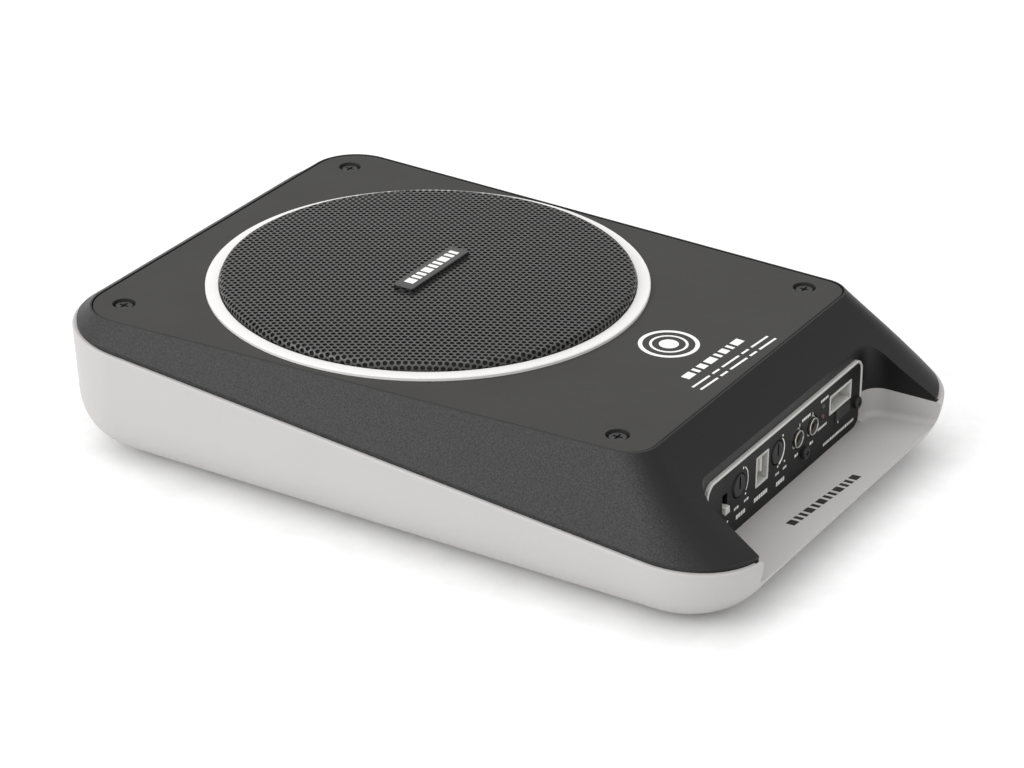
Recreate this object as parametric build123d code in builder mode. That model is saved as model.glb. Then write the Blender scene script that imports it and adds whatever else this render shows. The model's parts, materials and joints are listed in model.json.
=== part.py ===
from build123d import *
from math import asin, cos, exp, radians, sin, sqrt
import os

# Powered under-seat car subwoofer.
# Origin: at the level the feet stand on, within 2 mm of the middle of the overall box. +Z up, -Y is the end with the controls.

os.makedirs("parts", exist_ok=True)

# ---------------------------------------------------------------- driving dimensions
foot_proud = 1.5
shell_bottom = foot_proud
plate_top = 69.5
parting_height = 45.2       # height of the line between the shells, half way along
parting_slope = 0.0903      # its rise for each millimetre towards the back
tub_front_y = -171.8
tub_back_y = 175.1
tub_half_width = 117.8
tub_corner = 38.6
tub_draft = 0.06
tub_base_fillet = 28.0
tub_wall = 3.0
lip_step = 2.0              # how far the tub's rim stands outside the hood
hood_wall = 2.2             # set in on every side and dropped by as much, about 3 mm square to the skin
hood_front_y = -169.2
hood_back_y = 172.9
plate_front_y = -120.5
plate_back_y = 163.1
plate_front_half = 97.4
plate_back_half = 109.8
plate_thickness = 4.0
roof_thickness = 2.5
driver_y = 44.7
ring_radius = 100.0
ring_bore = 93.9
bay_half_width = 84.7
bay_back_y = -136.3
bay_split_z = 29.8          # where the hood's bay walls meet the tub's
bay_floor_back_z = 16.0
bay_floor_front_z = 18.8
bay_corner = 9.0
bay_wall = 2.8
bay_lean = 0.15             # how far its side walls lean in above the split, for each millimetre up
bay_floor_blend = 3.0
bay_reach = 70.0            # how far the tool that cuts the bay runs out past the front
bay_clearance = 90.0
board_top = 24.5
board_thickness = 1.6

rim_width = 9.5
window_half_width = 64.0
window_bottom = 20.0
window_top = 45.5
seal_depth = 0.8
seal_outer = 2.9            # the seal's two sides, set in from the tub's outline
seal_inner = 4.1
post_radius = 5.0
post_bore = 1.7
post_bore_depth = 18.0
foot_radius = 8.0
foot_seat = 1.0
insert_radius = 4.0
insert_length = 6.5
insert_bore = 2.5
insert_wall = 2.5
insert_cover = 1.0
standoff_radius = 4.0
standoff_bore = 1.2

plate_rim = 0.8
plate_gap = 0.5
roof_opening_half = 88.0
roof_opening_y = 22.0
roof_opening_length = 258.0
seat_radius = 98.5
screw_clear_radius = 2.2

screw_recess_radius = 5.25
screw_recess_depth = 2.8
collar_radius = 101.5       # thickened ring under the plate that takes the driver's screws
collar_bottom = 60.5
driver_opening = 90.0
seat_z = 65.0
driver_screw_circle = 95.0
driver_screw_count = 6
ring_height = 1.6
grille_radius = 93.6
grille_flange = 97.5
grille_sheet = 0.8
grille_foot_z = 68.7
grille_shoulder_z = 74.6
grille_crown_z = 76.4
badge_length = 48.0
badge_width = 10.5
badge_rise = 2.0
badge_x = -2.0
badge_y = 41.5
flange_bottom = 66.0
flange_top = 67.2
flange_radius = seat_radius - 0.3
basket_sheet = 1.2
rim_step_z = 62.6           # step in the basket that holds the surround
ledge_z = 44.0              # ledge in the basket that holds the spider
ledge_start = 50.0
yoke_top = 34.0
yoke_bottom = 7.0
magnet_bottom = 14.0
pole_radius = 18.1
former_inner = 18.6
former_outer = 19.0
plate_bore = 20.2
cone_neck_z = 47.8
cap_radius = 27.0
cap_crown_z = 58.0
tab_x = 5.0
tab_z = 38.5

trim_half_width = 72.8
trim_top = 49.4
trim_width = 1.3
trim_thickness = 1.8
panel_thickness = 1.2
panel_bottom = 16.2
panel_corner = 5.0
knob_z = 37.2
frequency_x = -43.5
gain_x = -8.5
knob_radius = 5.2
knob_back = 1.6             # behind the bay's back wall
knob_front = 1.8            # in front of it
knob_slot_depth = 0.8
slider_x = -56.0
slider_low_z = 31.5
slider_travel = 5.0
remote_x = -22.3
remote_z = 35.75
rca_z = 35.5
rca_left_x = 10.7
rca_right_x = 24.7
led_x = 34.8
power_led_z = 40.7
protect_led_z = 35.8
connector_x = 52.0
connector_z = 37.8
knob_gap = 0.6
slider_slot = 4.4
remote_cutout = (11.6, 14.7)
rca_cutout_radius = 5.2
led_cutout_radius = 1.6
connector_cutout = (21.8, 9.8)
panel_screw_clearance = 1.7
panel_screw_spots = ((68.5, 28.2), (-68.5, 28.2), (17.7, 25.6))
board_front_y = -131.0
board_back_y = -60.0
board_half_width = 76.0

rca_proud = 2.4             # past the bay's back wall
rca_depth = 9.0
rca_radius = 4.15
rca_inner = 3.3
rca_flange_radius = 5.0
rca_flange_thickness = 0.6
rca_contact_bore = 1.6
sink_y = -64.0
sink_thickness = 3.5
sink_half_width = 55.0
sink_top = 52.0
fin_count = 13
transistor_spots = (-42.0, -14.0, 14.0, 42.0)
transformer_x = -47.0
transformer_y = -93.0
capacitor_spots = ((-17.0, -90.0), (3.0, -90.0), (23.0, -90.0))
inductor_spots = ((50.0, -88.0), (50.0, -107.0))
lead_radius = 0.9
lead_z = 33.0

hood_half_width = tub_half_width - lip_step
plate_bottom = plate_top - plate_thickness
roof_bottom = plate_bottom - roof_thickness
tub_floor = shell_bottom + tub_wall

# The hood's front is steep under the plate and runs out into a shallow toe.
plate_front_corner = 13.0
plate_back_corner = 22.0
hood_corner = 36.6
hood_bands = 14
band_crowding = 1.5         # draws the bands together towards the toe
toe_reach = 68.5
toe_decay = 1.1
base_band = 2.0             # upright band round the foot of the hood

plate_screw_spots = ((90.7, 146.8), (-90.7, 146.8), (84.6, -101.5), (-84.6, -101.5))
foot_spots = ((75.0, 122.0), (-75.0, 122.0), (75.0, -122.0), (-75.0, -122.0))
insert_spots = ((45.0, 128.0), (-45.0, 128.0), (45.0, -128.0), (-45.0, -128.0))
standoff_spots = ((68.0, -124.0), (-68.0, -124.0), (68.0, -64.0), (-68.0, -64.0))


def save(part, name):
    """Label one finished piece and write it to its own file."""
    part.label = name
    export_step(part, f"parts/{name}.step")


def between(start, end, share):
    """Value at a share of the way from start to end."""
    return start + (end - start) * share


def sloped_plane(height, slope):
    """Plane through (0, 0, height) that rises towards the back."""
    return Plane(origin=(0, 0, height), x_dir=(1, 0, 0), z_dir=(0, -slope, 1))


def outline(plane, slope, half_front, half_back, y_front, y_back, r_front, r_back):
    """Rounded four-sided outline, symmetrical about YZ, on a plane of the given slope."""
    stretch = sqrt(1 + slope**2)
    with BuildSketch(plane) as drawn:
        with BuildLine():
            Polyline(
                (-half_front, y_front * stretch),
                (half_front, y_front * stretch),
                (half_back, y_back * stretch),
                (-half_back, y_back * stretch),
                close=True,
            )
        make_face()
        fillet(drawn.vertices().group_by(Axis.Y)[0], r_front)
        fillet(drawn.vertices().group_by(Axis.Y)[-1], r_back)
    return drawn.sketch


def hood_half(share, y):
    """Half-width of the hood's flank at a share of the climb and a place along the body."""
    top = between(plate_front_half, plate_back_half, (y - plate_front_y) / (plate_back_y - plate_front_y))
    return between(hood_half_width, top, share)


def hood_front(share):
    """Place of the hood's front at a share of the climb from the parting line to the plate."""
    brow = hood_front_y + toe_reach
    climb = plate_front_y - brow + toe_reach * exp(-toe_decay)
    return brow + climb * share - toe_reach * exp(-toe_decay * share)


def hood_section(share, inset, drop):
    """One outline of the hood between the parting line and the plate's level."""
    y_front = hood_front(share)
    slope = parting_slope * (1 - share)
    height = between(parting_height + base_band, plate_top, share) - drop
    y_back = between(hood_back_y, plate_back_y, share)
    r_front = plate_front_corner + (hood_corner - plate_front_corner) * (1 - share) ** 3 - inset
    r_back = between(hood_corner, plate_back_corner, share) - inset
    return outline(
        sloped_plane(height, slope),
        slope,
        hood_half(share, y_front) - inset,
        hood_half(share, y_back) - inset,
        y_front + inset,
        y_back - inset,
        r_front,
        r_back,
    )


def hood_sections(inset, drop):
    """Outlines of the hood from the parting line up, closest together where the toe curves."""
    shares = [(band / hood_bands) ** band_crowding for band in range(hood_bands + 1)]
    climb = [hood_section(share, inset, drop) for share in shares]
    return [hood_section(0, inset, drop + base_band)] + climb


def tub_section(plane, slope, inset_front, inset_back):
    """Outline of the tub, set in by different amounts at its front and back ends."""
    return outline(
        plane,
        slope,
        tub_half_width - inset_front,
        tub_half_width - inset_back,
        tub_front_y + inset_front,
        tub_back_y - inset_back,
        tub_corner - inset_front,
        tub_corner - inset_back,
    )


def parting_at(y):
    """Height of the parting line at a place along the body."""
    return parting_height + parting_slope * y


draft_front = tub_draft * (parting_at(tub_front_y) - shell_bottom)
draft_back = tub_draft * (parting_at(tub_back_y) - shell_bottom)

# ---------------------------------------------------------------- the control bay, as tools
post_root = parting_at(tub_front_y) - 5
bay_fall = (bay_floor_front_z - bay_floor_back_z) / (bay_back_y - hood_front_y)


def bay_plan(plane, half_width, grow):
    """Plan of the bay with its two back corners rounded, on a plane through its back wall."""
    with BuildSketch(plane) as plan:
        with Locations((0, grow - bay_reach / 2)):
            Rectangle(2 * (half_width + grow), bay_reach)
        fillet(plan.vertices().group_by(Axis.Y)[-1], bay_corner + grow)
    return plan.sketch


def bay_tool(grow):
    """The bay's hollow, from its floor upwards, grown sideways, backwards and downwards."""
    floor = Plane(
        origin=(0, bay_back_y, bay_floor_back_z - grow),
        x_dir=(1, 0, 0),
        z_dir=(0, bay_fall, 1),
    )
    ground_level = Plane(origin=(0, bay_back_y, 0))
    split_level = Plane(origin=(0, bay_back_y, bay_split_z))
    top_level = Plane(origin=(0, bay_back_y, bay_clearance))
    top_half_width = bay_half_width - bay_lean * (bay_clearance - bay_split_z)
    with BuildPart() as tool:
        extrude(bay_plan(ground_level, bay_half_width, grow), amount=bay_split_z)
        split(bisect_by=floor, keep=Keep.TOP)
        fillet(tool.faces().sort_by(Axis.Z)[0].edges(), bay_floor_blend)
        loft(
            sections=[
                bay_plan(split_level, bay_half_width, grow),
                bay_plan(top_level, top_half_width, grow),
            ],
            ruled=True,
        )
    return tool.part


bay_hollow = bay_tool(0)
bay_block = bay_tool(bay_wall)

# ---------------------------------------------------------------- lower shell
with BuildPart() as tub_cavity:
    loft(
        sections=[
            tub_section(Plane.XY.offset(tub_floor), 0, draft_front + tub_wall, draft_back + tub_wall),
            tub_section(sloped_plane(parting_height - tub_wall, parting_slope), parting_slope,
                        tub_wall, tub_wall),
        ],
        ruled=True,
    )
    fillet(tub_cavity.faces().sort_by(Axis.Z)[0].edges(), tub_base_fillet - tub_wall)
    add(bay_block, mode=Mode.SUBTRACT)
    with BuildSketch(Plane.XY):
        with Locations(*plate_screw_spots):
            Circle(post_radius)
    extrude(amount=plate_top, mode=Mode.SUBTRACT)
    with BuildSketch(Plane.XY):
        with Locations(*insert_spots):
            Circle(insert_radius + insert_wall)
    extrude(amount=shell_bottom + insert_length + insert_cover + 1.0, mode=Mode.SUBTRACT)
    with BuildSketch(Plane.XY):
        with Locations(*standoff_spots):
            Circle(standoff_radius)
    extrude(amount=board_top - board_thickness, mode=Mode.SUBTRACT)

with BuildPart() as rim_throat:
    extrude(
        tub_section(sloped_plane(parting_height - tub_wall - 1, parting_slope), parting_slope,
                    rim_width, rim_width),
        amount=tub_wall + 5,
    )
    add(bay_block, mode=Mode.SUBTRACT)

# Strip of the bay's wall that belongs to the hood although it lies below the parting line.
with BuildPart() as hood_bay_skirt:
    with BuildSketch(Plane.XY.offset(bay_split_z)):
        with Locations((0, (hood_front_y + bay_back_y + bay_wall) / 2)):
            Rectangle(2 * (bay_half_width + bay_wall), bay_back_y + bay_wall - hood_front_y)
    extrude(amount=2 * bay_wall + parting_at(bay_back_y) - bay_split_z)
    add(bay_block, mode=Mode.INTERSECT)
    split(bisect_by=sloped_plane(parting_height, parting_slope), keep=Keep.BOTTOM)

with BuildPart() as panel_window:
    with BuildSketch(Plane.XZ.offset(-(bay_back_y + bay_wall + 1))):
        with Locations((0, (window_bottom + window_top) / 2)):
            Rectangle(2 * window_half_width, window_top - window_bottom)
    extrude(amount=bay_wall + 2)


def seal_ring(height):
    """Foam seal lying in the tub's rim, open at the bay."""
    base = sloped_plane(parting_height - seal_depth, parting_slope)
    with BuildPart() as ring:
        extrude(tub_section(base, parting_slope, seal_outer, seal_outer), amount=height)
        extrude(tub_section(base, parting_slope, seal_inner, seal_inner), amount=height, mode=Mode.SUBTRACT)
        with BuildSketch(Plane.XY):
            with Locations((0, -160)):
                Rectangle(2 * (bay_half_width + bay_wall + 2), 60)
        extrude(amount=plate_top, mode=Mode.SUBTRACT)
    return ring.part


with BuildPart() as lower_shell:
    loft(
        sections=[
            tub_section(Plane.XY.offset(shell_bottom), 0, draft_front, draft_back),
            tub_section(sloped_plane(parting_height, parting_slope), parting_slope, 0, 0),
        ],
        ruled=True,
    )
    fillet(lower_shell.faces().sort_by(Axis.Z)[0].edges(), tub_base_fillet)
    fillet(lower_shell.faces().sort_by(Axis.Z)[-1].edges(), 0.9)
    add(tub_cavity.part, mode=Mode.SUBTRACT)
    add(rim_throat.part, mode=Mode.SUBTRACT)
    add(seal_ring(seal_depth + 1), mode=Mode.SUBTRACT)
    add(bay_hollow, mode=Mode.SUBTRACT)
    # Flat seat for the panel, through the blend at the foot of the bay's back wall.
    with BuildSketch(Plane.XY.offset(bay_floor_back_z)):
        with Locations((0, bay_back_y - 1.5)):
            Rectangle(2 * (trim_half_width + 0.2), 3)
    extrude(amount=10, mode=Mode.SUBTRACT)
    add(hood_bay_skirt.part, mode=Mode.SUBTRACT)
    add(panel_window.part, mode=Mode.SUBTRACT)
    with BuildSketch(Plane.XZ.offset(-bay_back_y)):
        with Locations(*panel_screw_spots[:2]):
            Circle(1.4)
    extrude(amount=-bay_wall, mode=Mode.SUBTRACT)
    # The four posts rise through the hood to the plate.
    with BuildSketch(Plane.XY.offset(post_root)):
        with Locations(*plate_screw_spots):
            Circle(post_radius)
    extrude(amount=roof_bottom - post_root)
    with Locations(*[(x, y, roof_bottom) for x, y in plate_screw_spots]):
        Hole(post_bore, post_bore_depth)
    # Underside: seats for the feet and sockets for the bracket inserts.
    with Locations(Plane.XY.offset(shell_bottom).rotated((180, 0, 0))):
        with Locations(*[(x, -y) for x, y in foot_spots]):
            Hole(foot_radius + 0.1, foot_seat)
        with Locations(*[(x, -y) for x, y in insert_spots]):
            Hole(insert_radius, insert_length)
    with Locations(*[(x, y, board_top - board_thickness) for x, y in standoff_spots]):
        Hole(standoff_bore, 10)

# ---------------------------------------------------------------- upper shell
with BuildPart() as hood_cavity:
    loft(sections=hood_sections(hood_wall, hood_wall), ruled=True)
    with BuildSketch(Plane.XY.offset(roof_bottom)):
        Rectangle(3 * tub_half_width, 3 * tub_back_y)
    extrude(amount=10, mode=Mode.SUBTRACT)
    add(bay_block, mode=Mode.SUBTRACT)

with BuildPart() as upper_shell:
    loft(sections=hood_sections(0, 0), ruled=True)
    add(hood_cavity.part, mode=Mode.SUBTRACT)
    add(hood_bay_skirt.part)
    add(bay_hollow, mode=Mode.SUBTRACT)
    add(panel_window.part, mode=Mode.SUBTRACT)
    # Pocket for the plate, and the opening in the roof below it.
    extrude(
        outline(Plane.XY.offset(plate_bottom), 0,
                plate_front_half - plate_rim, plate_back_half - plate_rim,
                plate_front_y + plate_rim, plate_back_y - plate_rim,
                plate_front_corner - plate_rim, plate_back_corner - plate_rim),
        amount=plate_thickness + 1,
        mode=Mode.SUBTRACT,
    )
    with BuildSketch(Plane.XY.offset(roof_bottom - 1)) as roof_opening:
        with Locations((0, roof_opening_y)):
            RectangleRounded(2 * roof_opening_half, roof_opening_length, 20)
        with Locations((0, driver_y)):
            Circle(seat_radius + 4)
        with Locations(*plate_screw_spots):
            Circle(post_radius + 4, mode=Mode.SUBTRACT)
    extrude(amount=roof_thickness + 2, mode=Mode.SUBTRACT)
    with Locations(*[(x, y, plate_bottom) for x, y in plate_screw_spots]):
        Hole(screw_clear_radius, roof_thickness)
save(lower_shell.part, "lower_shell")
save(upper_shell.part, "upper_shell")
save(seal_ring(seal_depth - 0.03), "shell_seal")

# ---------------------------------------------------------------- top plate
plate_set_in = plate_rim + plate_gap
with BuildPart() as top_plate:
    extrude(
        outline(Plane.XY.offset(plate_bottom), 0,
                plate_front_half - plate_set_in, plate_back_half - plate_set_in,
                plate_front_y + plate_set_in, plate_back_y - plate_set_in,
                plate_front_corner - plate_set_in, plate_back_corner - plate_set_in),
        amount=plate_thickness,
    )
    chamfer(top_plate.faces().sort_by(Axis.Z)[-1].edges(), 0.35)
    with BuildSketch(Plane.XY.offset(collar_bottom)):
        with Locations((0, driver_y)):
            Circle(collar_radius)
    extrude(amount=plate_bottom - collar_bottom)
    with Locations((0, driver_y, plate_top)):
        CounterBoreHole(driver_opening, seat_radius, plate_top - seat_z)
    with Locations((0, driver_y, seat_z)):
        with PolarLocations(driver_screw_circle, driver_screw_count):
            Hole(1.3, seat_z - collar_bottom)
    with Locations(*[(x, y, plate_top) for x, y in plate_screw_spots]):
        CounterBoreHole(screw_clear_radius, screw_recess_radius, screw_recess_depth)
save(top_plate.part, "top_plate")


def cross_recess(width, span, depth):
    """Cut a cross-head recess at the current locations, downwards from their level."""
    Box(span, width, depth, align=(Align.CENTER, Align.CENTER, Align.MAX), mode=Mode.SUBTRACT)
    Box(width, span, depth, align=(Align.CENTER, Align.CENTER, Align.MAX), mode=Mode.SUBTRACT)


with BuildPart() as plate_screws:
    head_bottom = plate_top - screw_recess_depth
    with Locations(*[(x, y, head_bottom) for x, y in plate_screw_spots]):
        Cylinder(4.2, 1.9, align=(Align.CENTER, Align.CENTER, Align.MIN))
        Cylinder(1.65, 19, align=(Align.CENTER, Align.CENTER, Align.MAX))
    chamfer(plate_screws.faces().filter_by(Axis.Z).group_by(Axis.Z)[-1].edges(), 0.5)
    with Locations(*[(x, y, head_bottom + 1.9) for x, y in plate_screw_spots]):
        cross_recess(1.0, 4.6, 1.2)
save(plate_screws.part, "plate_screws")

# ---------------------------------------------------------------- ring, grille and badge
with BuildPart() as trim_ring:
    with BuildSketch(Plane.XY.offset(plate_top)):
        with Locations((0, driver_y)):
            Circle(ring_radius)
            Circle(ring_bore, mode=Mode.SUBTRACT)
    extrude(amount=ring_height)
    chamfer(trim_ring.faces().sort_by(Axis.Z)[-1].edges(), 0.4)
save(trim_ring.part, "trim_ring")


def dome_middle(radius, foot_z, crown_z):
    """Point half way along the arc of a spherical dome centred on the axis."""
    rise = crown_z - foot_z
    ball = (radius**2 + rise**2) / (2 * rise)
    half_angle = asin(radius / ball) / 2
    return (ball * sin(half_angle), crown_z - ball * (1 - cos(half_angle)))


def grille_form(thinner):
    """Solid of the grille's dome, thinner all over by the sheet's thickness."""
    wall_radius = grille_radius - thinner
    shoulder = 2.6 - thinner
    shoulder_z = grille_shoulder_z - thinner
    crown_z = grille_crown_z - thinner
    with BuildPart() as form:
        with BuildSketch(Plane.XZ.offset(-driver_y)):
            with BuildLine():
                Line((0, grille_foot_z), (wall_radius, grille_foot_z))
                Line((wall_radius, grille_foot_z), (wall_radius, shoulder_z - shoulder))
                ThreePointArc(
                    (wall_radius, shoulder_z - shoulder),
                    (wall_radius - shoulder * (1 - sqrt(0.5)), shoulder_z - shoulder * (1 - sqrt(0.5))),
                    (wall_radius - shoulder, shoulder_z),
                )
                ThreePointArc(
                    (wall_radius - shoulder, shoulder_z),
                    dome_middle(wall_radius - shoulder, shoulder_z, crown_z),
                    (0, crown_z),
                )
                Line((0, crown_z), (0, grille_foot_z))
            make_face()
        revolve(axis=Axis((0, driver_y, 0), (0, 0, 1)))
    return form.part


grille_outer = grille_form(0)
with BuildPart() as grille:
    add(grille_outer)
    add(grille_form(grille_sheet), mode=Mode.SUBTRACT)
    with BuildSketch(Plane.XY.offset(grille_foot_z)):
        with Locations((0, driver_y)):
            Circle(grille_flange)
            Circle(grille_radius - grille_sheet, mode=Mode.SUBTRACT)
    extrude(amount=grille_sheet)
save(grille.part, "grille")

with BuildPart() as badge:
    with BuildSketch(Plane.XY.offset(grille_crown_z - 1)):
        with Locations((badge_x, badge_y)):
            RectangleRounded(badge_length, badge_width, 1.2)
    extrude(amount=badge_rise + 1)
    fillet(badge.faces().sort_by(Axis.Z)[-1].edges(), 0.5)
    add(grille_outer, mode=Mode.SUBTRACT)
save(badge.part, "badge")

# ---------------------------------------------------------------- the driver


def turned(points):
    """Solid of revolution about the driver's axis from a closed outline of radius and height."""
    with BuildPart() as solid:
        with BuildSketch(Plane.XZ.offset(-driver_y)):
            with BuildLine():
                Polyline(*points, close=True)
            make_face()
        revolve(axis=Axis((0, driver_y, 0), (0, 0, 1)))
    return solid.part


with BuildPart() as driver_gasket:
    with BuildSketch(Plane.XY.offset(seat_z)):
        with Locations((0, driver_y)):
            Circle(flange_radius)
            Circle(driver_opening + 0.5, mode=Mode.SUBTRACT)
            with PolarLocations(driver_screw_circle, driver_screw_count):
                Circle(1.6, mode=Mode.SUBTRACT)
    extrude(amount=flange_bottom - seat_z)
save(driver_gasket.part, "driver_gasket")

with BuildPart() as basket:
    add(turned([
        (flange_radius, flange_bottom), (88.2, flange_bottom),
        (88.2, rim_step_z - basket_sheet), (80.7, rim_step_z - basket_sheet),
        (61.2, ledge_z - basket_sheet), (51.2, ledge_z - basket_sheet),
        (51.2, yoke_top), (24.0, yoke_top),
        (24.0, yoke_top + basket_sheet), (50.0, yoke_top + basket_sheet),
        (50.0, ledge_z), (60.2, ledge_z),
        (79.7, rim_step_z), (87.0, rim_step_z),
        (87.0, flange_top), (flange_radius, flange_top),
    ]))
    with Locations((0, driver_y, (ledge_z + rim_step_z) / 2)):
        with PolarLocations(70, 6, start_angle=30):
            Box(28, 40, 12, mode=Mode.SUBTRACT)
    with Locations((0, driver_y, flange_top)):
        with PolarLocations(driver_screw_circle, driver_screw_count):
            Hole(1.6, flange_top - flange_bottom)
save(basket.part, "basket")

with BuildPart() as driver_screws:
    with Locations((0, driver_y, flange_top)):
        with PolarLocations(driver_screw_circle, driver_screw_count):
            Cylinder(2.5, 1.4, align=(Align.CENTER, Align.CENTER, Align.MIN))
            Cylinder(1.25, 6.0, align=(Align.CENTER, Align.CENTER, Align.MAX))
    with Locations((0, driver_y, flange_top + 1.4)):
        with PolarLocations(driver_screw_circle, driver_screw_count):
            cross_recess(0.7, 3.0, 0.8)
save(driver_screws.part, "driver_screws")

with BuildPart() as surround:
    with BuildSketch(Plane.XZ.offset(-driver_y)):
        with BuildLine():
            Line((86.8, rim_step_z), (82.0, rim_step_z))
            ThreePointArc((82.0, rim_step_z), (77.4, rim_step_z + 4.6), (72.8, rim_step_z))
            Line((72.8, rim_step_z), (66.5, rim_step_z))
            Line((66.5, rim_step_z), (66.5, rim_step_z + 0.8))
            Line((66.5, rim_step_z + 0.8), (72.1, rim_step_z + 0.8))
            ThreePointArc((72.1, rim_step_z + 0.8), (77.4, rim_step_z + 5.35), (82.7, rim_step_z + 0.8))
            Line((82.7, rim_step_z + 0.8), (86.8, rim_step_z + 0.8))
            Line((86.8, rim_step_z + 0.8), (86.8, rim_step_z))
        make_face()
    revolve(axis=Axis((0, driver_y, 0), (0, 0, 1)))
save(surround.part, "surround")

cone = turned([
    (former_outer, cone_neck_z - 0.8), (66.2, rim_step_z - 0.8), (73.0, rim_step_z - 0.8),
    (73.0, rim_step_z), (66.0, rim_step_z), (former_outer, cone_neck_z),
])
save(cone, "cone")


def cone_top(radius):
    """Height of the cone's upper surface at a radius."""
    return cone_neck_z + (rim_step_z - cone_neck_z) * (radius - former_outer) / (66.0 - former_outer)


with BuildPart() as dust_cap:
    with BuildSketch(Plane.XZ.offset(-driver_y)):
        with BuildLine():
            Line((cap_radius, cone_top(cap_radius)), (cap_radius - 1, cone_top(cap_radius - 1)))
            ThreePointArc(
                (cap_radius - 1, cone_top(cap_radius - 1)),
                dome_middle(cap_radius - 1, cone_top(cap_radius - 1), cap_crown_z - 0.8),
                (0, cap_crown_z - 0.8),
            )
            Line((0, cap_crown_z - 0.8), (0, cap_crown_z))
            ThreePointArc(
                (0, cap_crown_z),
                dome_middle(cap_radius, cone_top(cap_radius), cap_crown_z),
                (cap_radius, cone_top(cap_radius)),
            )
        make_face()
    revolve(axis=Axis((0, driver_y, 0), (0, 0, 1)))
save(dust_cap.part, "dust_cap")

save(turned([
    (former_inner, 22.0), (former_outer, 22.0),
    (former_outer, cone_neck_z + 0.8), (former_inner, cone_neck_z + 0.8),
]), "voice_coil_former")
save(turned([
    (former_outer, 25.0), (former_outer + 0.5, 25.0), (former_outer + 0.5, 37.0), (former_outer, 37.0),
]), "voice_coil_winding")

spider_rolls = 5
spider_pitch = (ledge_start - 2 - former_outer - 3) / spider_rolls
with BuildPart() as spider:
    with BuildSketch(Plane.XZ.offset(-driver_y)):
        with BuildLine() as spider_top:
            crests = [(former_outer, ledge_z + 0.6), (former_outer + 2, ledge_z + 0.6)]
            for roll in range(2 * spider_rolls):
                height = ledge_z + 0.6 + (1.1 if roll % 2 == 0 else -1.1)
                crests.append((former_outer + 3 + (roll + 0.5) * spider_pitch / 2, height))
            crests += [(ledge_start - 1, ledge_z + 0.6), (ledge_start + 8.5, ledge_z + 0.6)]
            Polyline(*crests, *[(radius, height - 0.6) for radius, height in reversed(crests)], close=True)
        make_face()
    revolve(axis=Axis((0, driver_y, 0), (0, 0, 1)))
save(spider.part, "spider")

save(turned([
    (plate_bore, yoke_top - 6), (50.0, yoke_top - 6), (50.0, yoke_top), (plate_bore, yoke_top),
]), "front_yoke_plate")
save(turned([
    (27.0, magnet_bottom), (55.0, magnet_bottom), (55.0, yoke_top - 6), (27.0, yoke_top - 6),
]), "magnet")
save(turned([
    (5.0, yoke_bottom), (48.0, yoke_bottom), (50.0, yoke_bottom + 2), (50.0, magnet_bottom),
    (pole_radius, magnet_bottom), (pole_radius, yoke_top), (5.0, yoke_top),
]), "back_yoke")

with BuildPart() as terminal_strip:
    with Locations((0, driver_y - 51.2, (yoke_top + ledge_z) / 2)):
        Box(20, 2.4, 7, align=(Align.CENTER, Align.MAX, Align.CENTER))
save(terminal_strip.part, "terminal_strip")

with BuildPart() as terminal_tabs:
    with Locations(*[(x, driver_y - 53.6, tab_z) for x in (-tab_x, tab_x)]):
        Box(4.8, 6.3, 0.8, align=(Align.CENTER, Align.MAX, Align.CENTER))
save(terminal_tabs.part, "terminal_tabs")

# ---------------------------------------------------------------- control panel
panel_face_y = bay_back_y - panel_thickness
panel_half_width = trim_half_width - trim_width
panel_top = trim_top - trim_width


def facing(y):
    """Plane facing the front of the bay at a place along the body, x across and z up."""
    return Plane(origin=(0, y, 0), x_dir=(1, 0, 0), z_dir=(0, -1, 0))


with BuildPart() as control_panel:
    with BuildSketch(facing(bay_back_y)):
        with Locations((0, (panel_bottom + panel_top) / 2)):
            RectangleRounded(2 * panel_half_width, panel_top - panel_bottom, panel_corner)
        with Locations((frequency_x, knob_z), (gain_x, knob_z)):
            Circle(knob_radius + knob_gap, mode=Mode.SUBTRACT)
        with Locations((slider_x, slider_low_z + slider_travel / 2)):
            Rectangle(slider_slot, slider_travel + slider_slot, mode=Mode.SUBTRACT)
        with Locations((remote_x, remote_z)):
            Rectangle(*remote_cutout, mode=Mode.SUBTRACT)
        with Locations((rca_left_x, rca_z), (rca_right_x, rca_z)):
            Circle(rca_cutout_radius, mode=Mode.SUBTRACT)
        with Locations((led_x, power_led_z), (led_x, protect_led_z)):
            Circle(led_cutout_radius, mode=Mode.SUBTRACT)
        with Locations((connector_x, connector_z)):
            Rectangle(*connector_cutout, mode=Mode.SUBTRACT)
        with Locations(*panel_screw_spots):
            Circle(panel_screw_clearance, mode=Mode.SUBTRACT)
    extrude(amount=panel_thickness)
save(control_panel.part, "control_panel")

with BuildPart() as bay_trim:
    with BuildSketch(facing(bay_back_y)):
        with Locations((0, (panel_bottom + trim_top) / 2)):
            RectangleRounded(2 * trim_half_width, trim_top - panel_bottom, panel_corner + trim_width)
        with Locations((0, (panel_bottom + panel_top) / 2)):
            RectangleRounded(2 * panel_half_width, panel_top - panel_bottom, panel_corner,
                             mode=Mode.SUBTRACT)
        with Locations((0, bay_split_z - 10)):
            Rectangle(3 * trim_half_width, 20, mode=Mode.SUBTRACT)
    extrude(amount=trim_thickness)
    chamfer(bay_trim.faces().sort_by(Axis.Y)[0].edges(), 0.3)
save(bay_trim.part, "bay_trim")

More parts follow.
